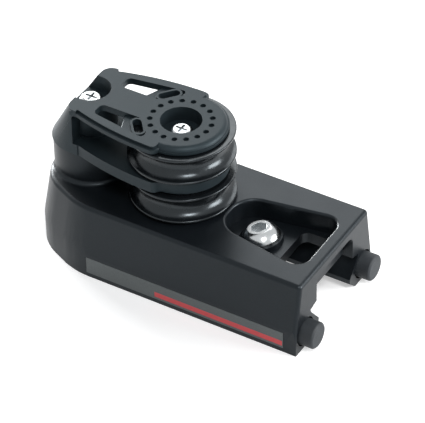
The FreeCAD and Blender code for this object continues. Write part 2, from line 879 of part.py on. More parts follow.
def build_middle_plate():
    """The plate between the sheaves, with the upturned wall of the head."""
    body = new_body("middle_plate")
    place(body, sheave_x)
    add_head(body, "middle")
    far = front_low - 10
    high = cheek_top + 1
    cut_across(body, "middle_seam", [
        (seam_low, size("plate_level")), (seam_high, size("cheek_level")),
        (seam_high, high), (far, high), (far, size("plate_level")),
    ])
    back = pillar_local + size("wall_back")
    cut_across(body, "middle_wall_back", [
        (back, plate_top), (head_back + 5, plate_top), (head_back + 5, high), (back, high),
    ])
    web = new_sketch(body, "middle_arms", level=size("plate_level"))
    arms_outline(web, 0)
    add_pad(body, "middle_web", web, size("plate_height"))
    disc = add_cylinder(body, "middle_disc", disc_radius * 2, size("plate_height"),
                        0, 0, size("plate_level"))

    def throat(edge):
        at = edge_middle(edge)
        on_disc = near(math.hypot(at.x, at.y), disc_radius.value)
        return is_upright(edge) and on_disc and at.x < disc_radius.value / 2

    add_fillet(body, "middle_throats", disc, pick_edges(disc, throat), size("throat_round"))
    add_cylinder(body, "middle_boss_room", size("boss_diameter") + size("fit_play") * 2,
                 high - size("boss_split"), pillar_local, 0, size("boss_split"), cut=True)
    add_cylinder(body, "middle_boss", size("boss_diameter"),
                 size("boss_split") - size("plate_level"), pillar_local, 0,
                 size("plate_level"))
    add_cylinder(body, "middle_boss_foot", size("boss_foot_diameter"),
                 size("boss_foot_height") + 1, pillar_local, 0, plate_top - 1)
    add_cylinder(body, "middle_screw_bore", screw_hole, size("boss_split"),
                 pillar_local, 0, size("plate_level") - 1, cut=True)
    add_cylinder(body, "middle_post_bore", post_hole, size("plate_height") + 2,
                 0, 0, size("plate_level") - 1, cut=True)


def build_top_cheek():
    """The top plate: head, two arms, disc, cup, slots, lashing eyes and dimples."""
    body = new_body("top_cheek")
    place(body, sheave_x)
    add_head(body, "cheek")
    cut_across(body, "cheek_seam", [
        (seam_low, size("plate_level")), (head_back + 5, size("plate_level")),
        (head_back + 5, size("cheek_level")), (seam_high, size("cheek_level")),
    ])
    add_cylinder(body, "cheek_boss_room", size("boss_foot_diameter"),
                 size("boss_split") - size("plate_level") + 1, pillar_local, 0,
                 size("plate_level") - 1, cut=True)
    add_cylinder(body, "cheek_boss", size("boss_diameter"),
                 cheek_top - size("boss_split"), pillar_local, 0, size("boss_split"))
    cut_across(body, "cheek_front_trim", [
        (front_low, size("plate_level")), (front_high, cheek_top),
        (front_high - 30, cheek_top + 1), (front_low - 30, size("plate_level")),
    ])
    lower = new_sketch(body, "cheek_arms", level=size("cheek_level"))
    arms_outline(lower, 0)
    add_pad(body, "cheek_web", lower, size("cheek_height") - size("rim_height"))
    upper = new_sketch(body, "cheek_arms_top",
                       level=cheek_top - size("rim_height") - 0.5)
    arms_outline(upper, size("rim_inset"))
    add_pad(body, "cheek_web_top", upper, size("rim_height") + 0.5)
    disc = new_sketch(body, "cheek_disc_section", "XZ_Plane")
    step = size("cheek_level") + size("disc_step_height")
    shoulder = disc_radius - size("disc_step")
    add_outline(disc, [
        (0, size("cheek_level")), (disc_radius, size("cheek_level")), (disc_radius, step),
        (shoulder, step, size("disc_shoulder_round")),
        (shoulder - size("disc_shoulder"), cheek_top), (0, cheek_top),
    ])
    add_revolution(body, "cheek_disc", disc)
    cup_outer = size("cup_diameter") + size("cup_wall") * 2
    add_cylinder(body, "cheek_cup", cup_outer, cheek_top - cup_bottom, 0, 0, cup_bottom)
    add_cylinder(body, "cheek_cup_inside", size("cup_diameter"),
                 cheek_top - size("cup_floor") + 1, 0, 0, size("cup_floor"), cut=True)
    add_cylinder(body, "cheek_cup_bore", screw_hole, size("cup_floor_height") + 2,
                 0, 0, cup_bottom - 1, cut=True)
    cut_slots(body)
    cut_notch(body)
    cut_dimples(body)


def cut_slots(body):
    """A long recess in each arm: a slot at the head's end of it, and a lashing eye that
    stands up from its floor at the other end."""
    fore = pillar_local + size("slot_head_gap")
    slope = (size("recess_aft_outer") - size("slot_outer_head")) / (
        -size("recess_aft") - fore)
    outer_aft = size("slot_outer_head") + (-size("slot_aft_outer") - fore) * slope
    for name, side in (("near", -1), ("far", 1)):
        inner = size("slot_inner_half") * side
        recess = new_sketch(body, name + "_recess_plan", level=cheek_top)
        add_outline(recess, [
            (-size("slot_aft_inner"), inner), (-size("recess_bend"), inner),
            (-size("recess_aft"), size("recess_aft_inner") * side),
            (-size("recess_aft"), size("recess_aft_outer") * side),
            (-size("slot_aft_outer"), outer_aft * side),
        ])
        opened = add_pocket(body, name + "_recess", recess, size("recess_depth"))
        corner_xs = (-size("recess_aft").value, -size("recess_bend").value)

        def recess_corner(edge):
            at = edge_middle(edge)
            along = near(at.x, corner_xs[0]) or near(at.x, corner_xs[1])
            high = max(v.Z for v in edge.Vertexes)
            return is_upright(edge) and near(high, cheek_top.value) and along and (
                at.y * side > 0)

        add_fillet(body, name + "_recess_round", opened,
                   pick_edges(opened, recess_corner), size("recess_round"))
        slot = new_sketch(body, name + "_slot_plan", level=cheek_top)
        add_outline(slot, [
            (fore, inner), (-size("slot_aft_inner"), inner),
            (-size("slot_aft_outer"), outer_aft * side),
            (fore, size("slot_outer_head") * side),
        ])
        opened = add_pocket(body, name + "_slot", slot, size("cheek_height") + 1)

        def slot_corner(edge):
            at = edge_middle(edge)
            return is_upright(edge) and near(at.x, fore.value) and at.y * side > 0

        opened = add_fillet(body, name + "_slot_round", opened,
                            pick_edges(opened, slot_corner), size("slot_round"))
        floor = cheek_top - size("recess_depth")

        def floor_edge(edge):
            at = edge_middle(edge)
            middle_x = -(size("slot_aft_inner").value + size("slot_aft_outer").value) / 2
            return near(at.z, floor.value) and near(at.x, middle_x, 1) and at.y * side > 0

        add_fillet(body, name + "_floor_round", opened, pick_edges(opened, floor_edge),
                   size("recess_edge_round"))
        rim = new_sketch(body, name + "_eye_rim_plan", level=floor - 0.5)
        eye_outline(rim, side, size("eye_rim"))
        add_pad(body, name + "_eye_rim", rim, size("recess_depth") + 0.5)
        eye = new_sketch(body, name + "_eye_plan", level=cheek_top)
        eye_outline(eye, side, 0)
        add_pocket(body, name + "_eye", eye, size("cheek_height") + 1)


def eye_outline(sketch, side, grow):
    """The long round outline of a lashing eye, grown by its rim."""
    radius = size("eye_width") / 2 + grow
    along_x = cosine(size("eye_angle")) * size("eye_length") / 2
    along_y = sine(size("eye_angle")) * size("eye_length") / 2
    off_x = sine(size("eye_angle")) * radius
    off_y = cosine(size("eye_angle")) * radius
    x = -size("eye_setback")
    y = size("eye_half")
    bend = radius * side
    add_outline(sketch, [
        (x - along_x + off_x, (y - along_y - off_y) * side),
        (x + along_x + off_x, (y + along_y - off_y) * side, bend),
        (x + along_x - off_x, (y + along_y + off_y) * side),
        (x - along_x - off_x, (y - along_y + off_y) * side, bend),
    ])


def cut_notch(body):
    """The notch for the head screw, open towards the nose."""
    height = cheek_top - notch_floor + 1
    add_cylinder(body, "notch_round", size("notch_diameter"), height,
                 pillar_local, 0, notch_floor, cut=True)
    half = size("notch_diameter") / 2
    mouth = new_sketch(body, "notch_mouth_plan", level=cheek_top + 1)
    rectangle(mouth, front_low, -half, pillar_local, half)
    add_pocket(body, "notch_mouth", mouth, height)
    add_cylinder(body, "cheek_screw_bore", screw_hole, cheek_top - size("boss_split"),
                 pillar_local, 0, size("boss_split") - 1, cut=True)


def cut_dimples(body):
    """The ring of small round dimples round the cup."""
    sketch = new_sketch(body, "dimple_plan", level=cheek_top)
    count = int(size("dimple_count").value)
    for index in range(count):
        turn = Formula("%.6f deg" % (360 * (index + 0.65) / count),
                       360 * (index + 0.65) / count)
        radius = size("dimple_circle") / 2
        add_circle(sketch, radius * cosine(turn), radius * sine(turn),
                   size("dimple_diameter"))
    add_pocket(body, "dimples", sketch, size("dimple_depth"))


def build_all():
    """Every sub-part of the end control."""
    build_base_casting()
    build_bumper("bumper_near", -1)
    build_bumper("bumper_far", 1)
    build_side_label()
    build_sheave("lower_sheave", lower_sheave_level)
    build_sheave("upper_sheave", upper_sheave_level)
    build_hub("lower_hub", lower_hub_level, size("plate_level"))
    build_hub("upper_hub", plate_top, size("cheek_level"), cup_bottom)
    build_balls("lower_bearing_balls", lower_sheave_level)
    build_balls("upper_bearing_balls", upper_sheave_level)
    build_ring("hub_washer_lower", sheave_x, deck, size("hub_washer_diameter"), post_hole,
               size("hub_washer_height"))
    build_ring("centre_post", sheave_x, size("channel_roof"), size("post_diameter"),
               screw_hole, cup_bottom - size("channel_roof"))
    build_ring("deck_washer", sheave_x, size("channel_roof") - size("deck_washer_height"),
               size("deck_washer_diameter"), screw_hole, size("deck_washer_height"))
    build_ring("head_insert", pillar_x, size("plate_level") - size("insert_length"),
               size("insert_diameter"), screw_hole, size("insert_length"))
    build_ring("head_washer", pillar_x, notch_floor,
               size("screw_head") + 1.2, screw_hole, size("head_washer_height"))
    build_pan_screw("centre_screw", sheave_x, size("cup_floor"), size("centre_screw_length"))
    build_pan_screw("head_screw", pillar_x, size("cup_floor"), size("head_screw_reach"))
    build_pan_screw("deck_screw", sheave_x, size("channel_roof") - size("deck_washer_height"),
                    size("deck_screw_length"), upward=False)
    build_clamp_bolt()
    build_middle_plate()
    build_top_cheek()


def sub_parts():
    """The finished objects that are written, one for each node."""
    kinds = ("PartDesign::Body", "Part::Compound")
    return [item for item in doc.Objects if item.TypeId in kinds]


def check_document():
    """Stop if any object failed or a sub-part has no good shape."""
    for item in doc.Objects:
        if "Invalid" in item.State or "Error" in item.State:
            raise ValueError("%s failed: %s" % (item.Label, item.State))
    for part in sub_parts():
        if part.Shape.isNull() or not part.Shape.isValid():
            raise ValueError("bad shape of " + part.Label)


def write_parts():
    """One STEP file for each sub-part."""
    os.makedirs("parts", exist_ok=True)
    for part in sub_parts():
        part.Shape.exportStep("parts/%s.step" % part.Label)
        box = part.Shape.BoundBox
        print("%-20s %d solids %9.1f mm3  x %.1f %.1f  y %.1f %.1f  z %.1f %.1f" % (
            part.Label, len(part.Shape.Solids), part.Shape.Volume,
            box.XMin, box.XMax, box.YMin, box.YMax, box.ZMin, box.ZMax))


build_all()
doc.recompute()
check_document()
write_parts()
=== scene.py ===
"""Finishes, label film and studio of a traveler end control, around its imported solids."""
import math

import bmesh
import bpy
from bpy.props import FloatProperty, FloatVectorProperty, PointerProperty
from mathutils import Matrix, Vector


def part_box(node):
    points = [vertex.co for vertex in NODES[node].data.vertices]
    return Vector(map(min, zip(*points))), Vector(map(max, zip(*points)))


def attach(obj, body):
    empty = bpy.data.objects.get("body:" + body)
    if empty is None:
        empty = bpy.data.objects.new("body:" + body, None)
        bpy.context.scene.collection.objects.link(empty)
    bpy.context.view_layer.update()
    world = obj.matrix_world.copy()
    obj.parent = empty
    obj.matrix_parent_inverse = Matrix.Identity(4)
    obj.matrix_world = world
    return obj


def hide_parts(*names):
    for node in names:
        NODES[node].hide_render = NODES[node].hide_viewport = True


bl_info = {
    "name": "Traveler End Control",
    "version": (1, 0, 0),
    "blender": (4, 5, 0),
    "location": "View3D > Sidebar > End Control",
    "description": "Finishes, label film and studio of a traveler end control",
    "category": "Object",
}

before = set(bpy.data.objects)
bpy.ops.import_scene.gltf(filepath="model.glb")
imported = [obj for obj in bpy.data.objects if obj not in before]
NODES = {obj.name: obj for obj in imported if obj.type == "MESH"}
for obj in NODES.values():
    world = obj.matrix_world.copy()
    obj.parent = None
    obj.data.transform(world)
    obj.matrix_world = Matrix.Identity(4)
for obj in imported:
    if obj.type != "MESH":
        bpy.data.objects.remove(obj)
FULL_TURN = 2 * math.pi
WHITE = (1, 1, 1, 1)

# Copies of the solids: how near points merge, what is flat, and which corners show
MERGE_REACH = 0.000001
FLAT_ANGLE = math.radians(0.5)
SHARP_ANGLE = math.radians(35)
SMOOTH_ANGLE = math.radians(30)
CREASE_ANGLE = math.radians(1)
CREASE_WIDTH = 0.004
ROUND_SEGMENTS = 2

# A Mix node has like-named sockets for each data type, so its colour sockets go by number
MIX_FIRST_COLOR = 6
MIX_SECOND_COLOR = 7
MIX_RESULT_COLOR = 2

# Studio, in metres, watts and shares of white
FLOOR_GLOW = 0.45
FILL_COLOR = (0.75, 0.82, 0.9, 1)
FILL_STRENGTH = 0.12
SENSOR_WIDTH_MM = 36
MIDDLE = (0, 0, 0.03)
SOFTBOXES = (
    dict(name="back_softbox", place=(-0.25, 0.95, 0.85), target=(0, 0.15, 0),
         width=0.9, height=0.45, power=5),
    dict(name="left_softbox", place=(-1.0, 0.55, 0.25), target=MIDDLE,
         width=0.6, height=0.4, power=26),
    dict(name="front_softbox", place=(0.62, -0.55, 1.18), target=MIDDLE,
         width=0.4, height=0.4, power=10),
    dict(name="right_softbox", place=(1.05, 0.4, 0.45), target=MIDDLE,
         width=0.6, height=0.5, power=16),
)


def size_property(label, about, default, low, high):
    """A length in metres that a user may change."""
    return FloatProperty(name=label, description=about, default=default, min=low, max=high,
                         unit="LENGTH", precision=5)


def share_property(label, about, default):
    """A share from 0 to 1."""
    return FloatProperty(name=label, description=about, default=default, min=0, max=1,
                         subtype="FACTOR")


def color_property(label, about, default):
    """A linear colour."""
    return FloatVectorProperty(name=label, description=about, default=default, size=3,
                               min=0, max=1, subtype="COLOR")


def angle_property(label, about, default):
    """An angle, given in degrees."""
    return FloatProperty(name=label, description=about, default=math.radians(default),
                         subtype="ANGLE", unit="ROTATION")


class CastingSettings(bpy.types.PropertyGroup):
    color: color_property("Color", "Black anodised coat of the body casting",
                          (0.0042, 0.0056, 0.0072))
    roughness: share_property("Roughness", "Roughness of the coat", 0.36)
    sheen_tint: color_property("Sheen tint", "Tint of the coat's sheen", (0.80, 0.92, 1.0))
    edge: size_property("Edge round", "Width of the round on cast edges", 0.00035,
                        0.0001, 0.002)
    grain: size_property("Grain", "Size of the coat's fine grain", 0.0004, 0.0001, 0.01)


class PlateSettings(bpy.types.PropertyGroup):
    color: color_property("Color", "Moulded plastic of both plates", (0.010, 0.015, 0.018))
    roughness: share_property("Roughness", "Roughness of the moulded skin", 0.46)
    sheen_tint: color_property("Sheen tint", "Tint of the skin's sheen", (0.74, 0.92, 1.0))
    edge: size_property("Edge round", "Width of the round on moulded edges", 0.0003,
                        0.0001, 0.002)
    grain: size_property("Grain", "Size of the moulded skin's grain", 0.0003, 0.0001, 0.01)


class SheaveSettings(bpy.types.PropertyGroup):
    color: color_property("Color", "Black anodised coat of the sheaves", (0.004, 0.005, 0.006))
    roughness: share_property("Roughness", "Roughness of the turned surface", 0.22)
    sheen_tint: color_property("Sheen tint", "Tint of the coat's sheen", (0.84, 0.94, 1.0))
    turning_pitch: size_property("Turning pitch", "Distance between turning marks", 0.00035,
                                 0.0001, 0.01)


class SteelSettings(bpy.types.PropertyGroup):
    color: color_property("Color", "Polished stainless steel", (0.50, 0.52, 0.53))
    roughness: share_property("Roughness", "Roughness of the polish", 0.17)
    edge: size_property("Edge round", "Width of the round on the heads' edges", 0.00015,
                        0.00005, 0.001)


class RubberSettings(bpy.types.PropertyGroup):
    color: color_property("Color", "Moulded rubber of the bumpers", (0.020, 0.024, 0.028))
    roughness: share_property("Roughness", "Roughness of the rubber", 0.62)
    edge: size_property("Edge round", "Width of the round on the ends", 0.0004, 0.0001, 0.002)


class LabelSettings(bpy.types.PropertyGroup):
    color: color_property("Color", "Ground of the label", (0.085, 0.100, 0.102))
    stripe_color: color_property("Stripe color", "Plain stripe along the label",
                                 (0.68, 0.055, 0.065))
    stripe_start: size_property("Stripe start", "Place along X where the stripe starts",
                                -0.0033, -1, 1)
    stripe_end: size_property("Stripe end", "Place along X where the stripe ends", 0.0735,
                              -1, 1)
    stripe_low: size_property("Stripe low edge", "Height of the stripe's lower edge", 0.0040,
                              -1, 1)
    stripe_high: size_property("Stripe high edge", "Height of the stripe's upper edge", 0.0072,
                               -1, 1)
    low_edge: size_property("Film's low edge", "Height of the film's lower edge", 0.0026, -1, 1)
    film: size_property("Film", "Height of the film over the casting", 0.00003, 0.00001, 0.001)


class BearingSettings(bpy.types.PropertyGroup):
    color: color_property("Color", "Black bearing plastic", (0.02, 0.021, 0.022))
    roughness: share_property("Roughness", "Roughness of the bearing plastic", 0.35)


class StageSettings(bpy.types.PropertyGroup):
    floor_size: size_property("Floor size", "Width of the floor", 6.0, 1, 20)
    floor_color: color_property("Floor color", "Colour of the floor", (0.80, 0.80, 0.80))
    azimuth: angle_property("Azimuth", "Camera's turn about Z", 31.63)
    elevation: angle_property("Elevation", "Camera's height above the horizon", 39.68)
    roll: angle_property("Roll", "Camera's roll", -1.18)
    distance: size_property("Distance", "Camera's distance from its target", 1.4632, 0.1, 20)
    target: FloatVectorProperty(name="Target", description="Point that the camera looks at",
                                default=(0.00835, 0.0001, 0.0372), size=3, subtype="XYZ",
                                unit="LENGTH")
    lens: FloatProperty(name="Lens", description="Focal length on a 36 mm wide sensor",
                        default=236.9, min=10, max=1000, unit="CAMERA")


SETTINGS = {
    "end_control_casting": CastingSettings,
    "end_control_plates": PlateSettings,
    "end_control_sheaves": SheaveSettings,
    "end_control_steel": SteelSettings,
    "end_control_rubber": RubberSettings,
    "end_control_label": LabelSettings,
    "end_control_bearings": BearingSettings,
    "end_control_stage": StageSettings,
}


def shade(color, factor):
    """A colour made darker or lighter."""
    return tuple(min(1.0, channel * factor) for channel in color)


class NodeGraph:
    """A material's node tree, with short calls to add and join its nodes."""

    def __init__(self, name):
        self.material = bpy.data.materials.new(name)
        self.material.use_nodes = True
        tree = self.material.node_tree
        tree.nodes.clear()
        self.nodes = tree.nodes
        self.links = tree.links
        self.output = self.add("ShaderNodeOutputMaterial")
        self.coordinates = self.add("ShaderNodeTexCoord").outputs["Object"]

    def add(self, kind, **settings):
        node = self.nodes.new(kind)
        for name, value in settings.items():
            setattr(node, name, value)
        return node

    def feed(self, socket, value):
        """Join another node's socket to this one, or set a number or a colour on it."""
        if isinstance(value, bpy.types.NodeSocket):
            self.links.new(value, socket)
        elif isinstance(value, (int, float)):
            socket.default_value = value
        else:
            socket.default_value = (*value, 1)

    def math(self, operation, first, second=None):
        node = self.add("ShaderNodeMath", operation=operation)
        for socket, value in zip(node.inputs, (first, second)):
            if value is not None:
                self.feed(socket, value)
        return node.outputs[0]

    def noise(self, width, detail=3.0, roughness=0.5):
        """Noise whose features are about this many metres wide."""
        node = self.add("ShaderNodeTexNoise")
        node.inputs["Scale"].default_value = 1 / width
        node.inputs["Detail"].default_value = detail
        node.inputs["Roughness"].default_value = roughness
        self.feed(node.inputs["Vector"], self.coordinates)
        return node.outputs["Fac"]

    def spread(self, value, low, high, source_low=0.3, source_high=0.7):
        """Value mapped from one range to another."""
        node = self.add("ShaderNodeMapRange")
        node.inputs["From Min"].default_value = source_low
        node.inputs["From Max"].default_value = source_high
        node.inputs["To Min"].default_value = low
        node.inputs["To Max"].default_value = high
        self.feed(node.inputs["Value"], value)
        return node.outputs["Result"]

    def vary(self, noise, middle, less, more):
        """A number that noise moves from a little less to a little more than its middle."""
        return self.spread(noise, middle - less, middle + more)

    def mix(self, factor, first, second):
        """Mix of two colours by a factor socket."""
        node = self.add("ShaderNodeMix", data_type="RGBA")
        self.feed(node.inputs["Factor"], factor)
        self.feed(node.inputs[MIX_FIRST_COLOR], first)
        self.feed(node.inputs[MIX_SECOND_COLOR], second)
        return node.outputs[MIX_RESULT_COLOR]

    def tones(self, factor, color, dark, light):
        """A colour that moves between a darker and a lighter shade of itself."""
        return self.mix(factor, shade(color, dark), shade(color, light))

    def bump(self, height, distance, strength):
        node = self.add("ShaderNodeBump")
        node.inputs["Strength"].default_value = strength
        node.inputs["Distance"].default_value = distance
        self.feed(node.inputs["Height"], height)
        return node.outputs["Normal"]

    def surface(self, **values):
        """The shader, with a plain value, colour or socket for each input."""
        shader = self.add("ShaderNodeBsdfPrincipled")
        for name, value in values.items():
            title = name.replace("_", " ").title().replace("Ior", "IOR")
            self.feed(shader.inputs[title], value)
        self.feed(self.output.inputs["Surface"], shader.outputs[0])
        return self.material


def casting_material(settings):
    """A fine blasted coat: faint speckle, a soft cloud in its gloss and a small grain."""
    graph = NodeGraph("black_anodised_casting")
    cloud = graph.noise(width=0.012, detail=2.0)
    grain = graph.noise(settings.grain, detail=4.0, roughness=0.6)
    speckle = graph.spread(graph.noise(width=0.0011, detail=2.0), 0.0, 1.0,
                           source_low=0.35, source_high=0.65)
    tone = graph.tones(speckle, settings.color, dark=0.88, light=1.14)
    roughness = graph.vary(cloud, settings.roughness, less=0.015, more=0.015)
    relief = graph.bump(grain, distance=0.00002, strength=0.55)
    return graph.surface(base_color=tone, roughness=roughness, specular_ior_level=0.28,
                         specular_tint=settings.sheen_tint, normal=relief)


def plate_material(settings):
    """Moulded plastic with a fine matt grain."""
    graph = NodeGraph("moulded_black_plastic")
    grain = graph.noise(settings.grain, roughness=0.6)
    cloud = graph.noise(width=0.008, detail=2.0)
    tone = graph.tones(graph.spread(cloud, 0, 1), settings.color, dark=0.92, light=1.08)
    roughness = graph.vary(grain, settings.roughness, less=0.05, more=0.06)
    relief = graph.bump(grain, distance=0.00002, strength=0.5)
    return graph.surface(base_color=tone, roughness=roughness, specular_ior_level=0.28,
                         specular_tint=settings.sheen_tint, normal=relief)


def sheave_material(settings, centre):
    """A turned surface: smears in its gloss, and fine rings about the sheave's axis."""
    graph = NodeGraph("turned_black_sheave")
    mapping = graph.add("ShaderNodeMapping")
    mapping.inputs["Location"].default_value = (-centre.x, -centre.y, 0)
    graph.feed(mapping.inputs["Vector"], graph.coordinates)
    split = graph.add("ShaderNodeSeparateXYZ")
    graph.feed(split.inputs["Vector"], mapping.outputs["Vector"])
    x, y, z = split.outputs
    radius = graph.math("SQRT", graph.math("ADD", graph.math("MULTIPLY", x, x),
                                           graph.math("MULTIPLY", y, y)))
    turns = FULL_TURN / settings.turning_pitch
    rings = graph.math("SINE", graph.math("MULTIPLY", graph.math("ADD", radius, z), turns))
    smears = graph.noise(width=0.004)
    roughness = graph.vary(smears, settings.roughness, less=0.05, more=0.07)
    relief = graph.bump(rings, distance=0.0000004, strength=0.4)
    return graph.surface(base_color=settings.color, roughness=roughness,
                         specular_ior_level=0.45, specular_tint=settings.sheen_tint,
                         normal=relief)


def steel_material(settings):
    """Polished steel with smears and hair scratches."""
    graph = NodeGraph("polished_stainless")
    smears = graph.noise(width=0.0016)
    roughness = graph.vary(smears, settings.roughness, less=0.05, more=0.08)
    scratches = graph.noise(width=0.0003, detail=2.0)
    relief = graph.bump(scratches, distance=0.0000006, strength=0.3)
    return graph.surface(base_color=settings.color, metallic=1.0, roughness=roughness,
                         normal=relief)


def rubber_material(settings):
    """Dull rubber with an uneven tone."""
    graph = NodeGraph("moulded_rubber")
    grain = graph.noise(width=0.0005)
    cloud = graph.noise(width=0.005, detail=2.0)
    tone = graph.tones(graph.spread(cloud, 0, 1), settings.color, dark=0.85, light=1.15)
    roughness = graph.vary(grain, settings.roughness, less=0.06, more=0.06)
    relief = graph.bump(grain, distance=0.00003, strength=0.5)
    return graph.surface(base_color=tone, roughness=roughness, specular_ior_level=0.4,
                         normal=relief)


def bearing_material(settings):
    """Smooth black plastic, with a soft cloud in its gloss."""
    graph = NodeGraph("black_bearing_plastic")
    cloud = graph.noise(width=0.003, detail=2.0)
    roughness = graph.vary(cloud, settings.roughness, less=0.04, more=0.06)
    return graph.surface(base_color=settings.color, roughness=roughness)


def label_material(settings):
    """A film with one plain stripe, placed by height and by distance along the label."""
    graph = NodeGraph("label_film")
    split = graph.add("ShaderNodeSeparateXYZ")
    graph.feed(split.inputs["Vector"], graph.coordinates)
    x, _, z = split.outputs
    edges = (("GREATER_THAN", x, settings.stripe_start), ("LESS_THAN", x, settings.stripe_end),
             ("GREATER_THAN", z, settings.stripe_low), ("LESS_THAN", z, settings.stripe_high))
    inside = None
    for operation, place, edge in edges:
        test = graph.math(operation, place, edge)
        inside = test if inside is None else graph.math("MULTIPLY", inside, test)
    grain = graph.noise(width=0.0008)
    ground = graph.tones(graph.spread(grain, 0, 1), settings.color, dark=0.9, light=1.1)
    tone = graph.mix(inside, ground, settings.stripe_color)
    roughness = graph.spread(grain, low=0.34, high=0.42)
    relief = graph.bump(grain, distance=0.000008, strength=0.3)
    return graph.surface(base_color=tone, roughness=roughness, normal=relief)


def dress(node, material):
    """A CAD node keeps its mesh and takes a material."""
    mesh = NODES[node].data
    mesh.materials.clear()
    mesh.materials.append(material)


def add_piece(name, shape, material, slot, body, *nodes):
    """A piece that rides on a body, from a bmesh, in the place of the named nodes."""
    mesh = bpy.data.meshes.new(name)
    shape.to_mesh(mesh)
    shape.free()
    mesh.materials.append(material)
    piece = bpy.data.objects.new(name, mesh)
    bpy.context.scene.collection.objects.link(piece)
    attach(piece, body)
    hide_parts(*nodes)
    return piece


def merged_shape(node):
    """A CAD node's triangles as one closed shape with whole flat faces."""
    shape = bmesh.new()
    shape.from_mesh(NODES[node].data)
    bmesh.ops.remove_doubles(shape, verts=shape.verts, dist=MERGE_REACH)
    bmesh.ops.dissolve_limit(shape, angle_limit=FLAT_ANGLE, verts=shape.verts,
                             edges=shape.edges)
    return shape


def round_corners(shape, width):
    """A narrow bevel on each outer corner that is sharp."""
    sharp = [line for line in shape.edges
             if len(line.link_faces) == 2 and line.calc_face_angle_signed() > SHARP_ANGLE]
    bmesh.ops.bevel(shape, geom=sharp, offset=width, offset_type="OFFSET",
                    segments=ROUND_SEGMENTS, affect="EDGES", profile=0.5, material=-1,
                    clamp_overlap=True)


def mark_creases(shape):
    """Smooth faces with a crease at each corner: between wide faces, at slight ones too."""
    for face in shape.faces:
        face.smooth = True
    for line in shape.edges:
        angle = line.calc_face_angle(0)
        wide = all(face.calc_area() > CREASE_WIDTH * line.calc_length()
                   for face in line.link_faces)
        line.smooth = angle < (CREASE_ANGLE if wide else SMOOTH_ANGLE)


def finish_node(node, name, material, slot, edge=0.0, body="frame"):
    """A merged copy of a CAD node in its place: rounded edges and even shading."""
    shape = merged_shape(node)
    if edge:
        round_corners(shape, edge)
    mark_creases(shape)
    piece = add_piece(name, shape, material, slot, body, node)
    even = piece.modifiers.new("even_shading", "WEIGHTED_NORMAL")
    even.keep_sharp = True


class CastingOperator(bpy.types.Operator):
    """Give the body casting its anodised coat"""
    bl_idname = "end_control.casting"
    bl_label = "Body Casting"

    def execute(self, context):
        settings = context.scene.end_control_casting
        finish_node("base_casting", "casting_with_coat", casting_material(settings),
                    "black_aluminium", settings.edge)
        return {"FINISHED"}


class PlatesOperator(bpy.types.Operator):
    """Give the cheek and the middle plate their moulded skin"""
    bl_idname = "end_control.plates"
    bl_label = "Plates"

    def execute(self, context):
        settings = context.scene.end_control_plates
        material = plate_material(settings)
        for node in ("middle_plate", "top_cheek"):
            finish_node(node, node + "_moulding", material, "nylon", settings.edge)
        return {"FINISHED"}


class SheavesOperator(bpy.types.Operator):
    """Give both sheaves their turned finish"""
    bl_idname = "end_control.sheaves"
    bl_label = "Sheaves"

    def execute(self, context):
        low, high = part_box("lower_sheave")
        material = sheave_material(context.scene.end_control_sheaves, (low + high) / 2)
        for node in ("lower_sheave", "upper_sheave"):
            finish_node(node, node + "_turned", material, "sheave_black", body=node)
        return {"FINISHED"}


class FastenersOperator(bpy.types.Operator):
    """Give the screws, the clamp bolt, the post and the washers their polish"""
    bl_idname = "end_control.fasteners"
    bl_label = "Fasteners"

    def execute(self, context):
        settings = context.scene.end_control_steel
        material = steel_material(settings)
        for node in ("centre_post", "deck_washer", "head_insert"):
            dress(node, material)
        for node in ("centre_screw", "head_screw", "deck_screw", "track_clamp_bolt",
                     "head_washer"):
            finish_node(node, node + "_polished", material, "stainless", settings.edge)
        return {"FINISHED"}


class BumpersOperator(bpy.types.Operator):
    """Give both bumpers their rubber"""
    bl_idname = "end_control.bumpers"
    bl_label = "Bumpers"

    def execute(self, context):
        settings = context.scene.end_control_rubber
        material = rubber_material(settings)
        for node in ("bumper_near", "bumper_far"):
            finish_node(node, node + "_rubber", material, "black_rubber", settings.edge)
        return {"FINISHED"}


class LabelOperator(bpy.types.Operator):
    """Give the side label its ground and its stripe"""
    bl_idname = "end_control.label"
    bl_label = "Side Label"

    def execute(self, context):
        settings = context.scene.end_control_label
        low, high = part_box("side_label")
        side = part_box("base_casting")[0].y
        high = Vector((high.x, low.y, high.z))
        low = Vector((low.x, side - settings.film, settings.low_edge))
        shape = bmesh.new()
        bmesh.ops.create_cube(shape, size=1)
        bmesh.ops.scale(shape, vec=high - low, verts=shape.verts)
        bmesh.ops.translate(shape, vec=(low + high) / 2, verts=shape.verts)
        bmesh.ops.bevel(shape, geom=shape.edges, offset=settings.film / 2, segments=1,
                        affect="EDGES", profile=0.5, material=-1)
        add_piece("label_strip", shape, label_material(settings), "label_film", "frame",
                  "side_label")
        return {"FINISHED"}


class BearingsOperator(bpy.types.Operator):
    """Give the hubs and the ball rows their bearing plastic"""
    bl_idname = "end_control.bearings"
    bl_label = "Bearings"

    def execute(self, context):
        material = bearing_material(context.scene.end_control_bearings)
        for node in ("lower_hub", "upper_hub", "hub_washer_lower", "lower_bearing_balls",
                     "upper_bearing_balls"):
            dress(node, material)
        return {"FINISHED"}


def aim(lamp, place, target):
    """Put a lamp at a place, pointing at a target."""
    lamp.location = place
    lamp.rotation_mode = "QUATERNION"
    lamp.rotation_quaternion = (Vector(target) - Vector(place)).to_track_quat("-Z", "Y")


def add_softbox(name, place, target, width, height, power):
    light = bpy.data.lights.new(name, "AREA")
    light.shape = "RECTANGLE"
    light.size = width
    light.size_y = height
    light.energy = power
    lamp = bpy.data.objects.new(name, light)
    bpy.context.scene.collection.objects.link(lamp)
    aim(lamp, place, target)


def add_background(nodes, color, strength):
    node = nodes.new("ShaderNodeBackground")
    node.inputs["Color"].default_value = color
    node.inputs["Strength"].default_value = strength
    return node.outputs[0]


